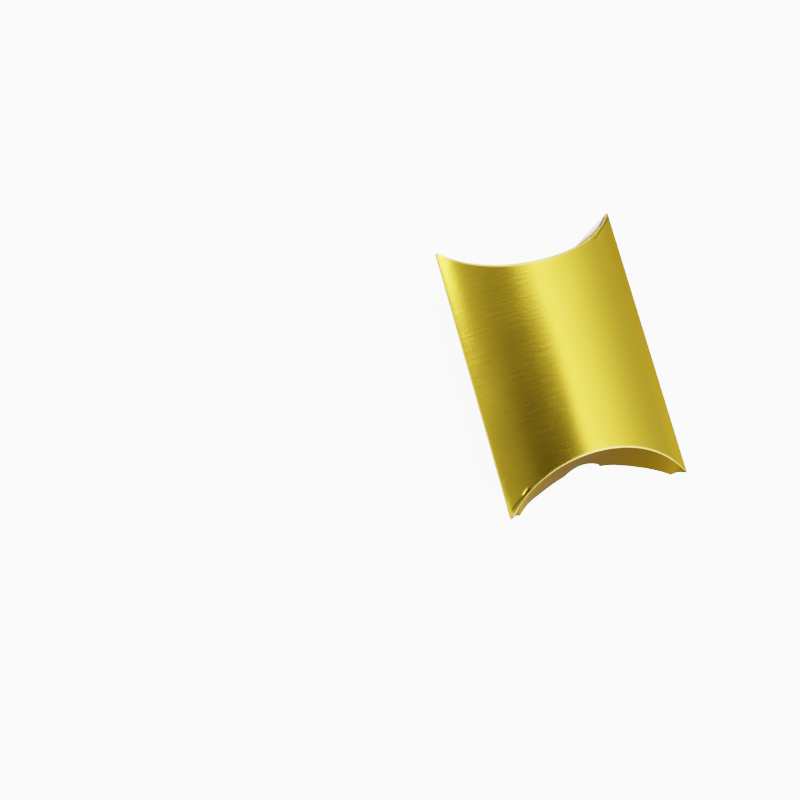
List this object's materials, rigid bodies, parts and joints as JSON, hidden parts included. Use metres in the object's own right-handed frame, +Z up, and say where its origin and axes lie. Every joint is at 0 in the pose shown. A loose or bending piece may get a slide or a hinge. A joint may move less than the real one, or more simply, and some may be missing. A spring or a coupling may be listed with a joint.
{
  "type": "pillow box",
  "caption": "Small erected pillow box of gold-faced card: two bowed panels, curved end creases, lapped end flaps with a thumb notch and a glued side seam.",
  "frame": {"origin": "under the middle of the box, where its bowed back panel touches the surface it lies on", "axes": "+X across the width, +Y along the length from the bottom end to the top end, +Z up from the back panel to the front panel"},
  "size_m": [0.0604, 0.09, 0.025],
  "materials": {
    "gold_face": "satin gold metallised paper laminated to the outside of the board",
    "white_board": "uncoated white folding board, matte, showing inside and at cut edges",
    "seam_glue": "dried white glue"
  },
  "bodies": {
    "sleeve": {"front_panel_gold_face": "gold_face", "front_panel_board": "white_board", "back_panel_gold_face": "gold_face", "back_panel_board": "white_board", "seam_glue": "seam_glue", "glue_tab_gold_face": "gold_face", "glue_tab_board": "white_board"},
    "bottom_outer_flap": {"bottom_outer_flap_gold_face": "gold_face", "bottom_outer_flap_board": "white_board"},
    "bottom_inner_flap": {"bottom_inner_flap_gold_face": "gold_face", "bottom_inner_flap_board": "white_board"},
    "top_outer_flap": {"top_outer_flap_gold_face": "gold_face", "top_outer_flap_board": "white_board"},
    "top_inner_flap": {"top_inner_flap_gold_face": "gold_face", "top_inner_flap_board": "white_board"}
  },
  "joints": [
    {"name": "bottom_outer_flap_fold", "type": "hinge", "parent": "sleeve", "child": "bottom_outer_flap", "pos_m": [0, -0.032, 0.025], "axis": [-1, 0, 0], "range_deg": [0, 84.06]},
    {"name": "bottom_inner_flap_fold", "type": "hinge", "parent": "sleeve", "child": "bottom_inner_flap", "pos_m": [0, -0.03148, 0.00055], "axis": [-1, 0, 0], "range_deg": [0, 50]},
    {"name": "top_outer_flap_fold", "type": "hinge", "parent": "sleeve", "child": "top_outer_flap", "pos_m": [0, 0.032, 0], "axis": [-1, 0, 0], "range_deg": [0, 86.34]},
    {"name": "top_inner_flap_fold", "type": "hinge", "parent": "sleeve", "child": "top_inner_flap", "pos_m": [0, 0.03148, 0.02445], "axis": [-1, 0, 0], "range_deg": [0, 50]}
  ]
}
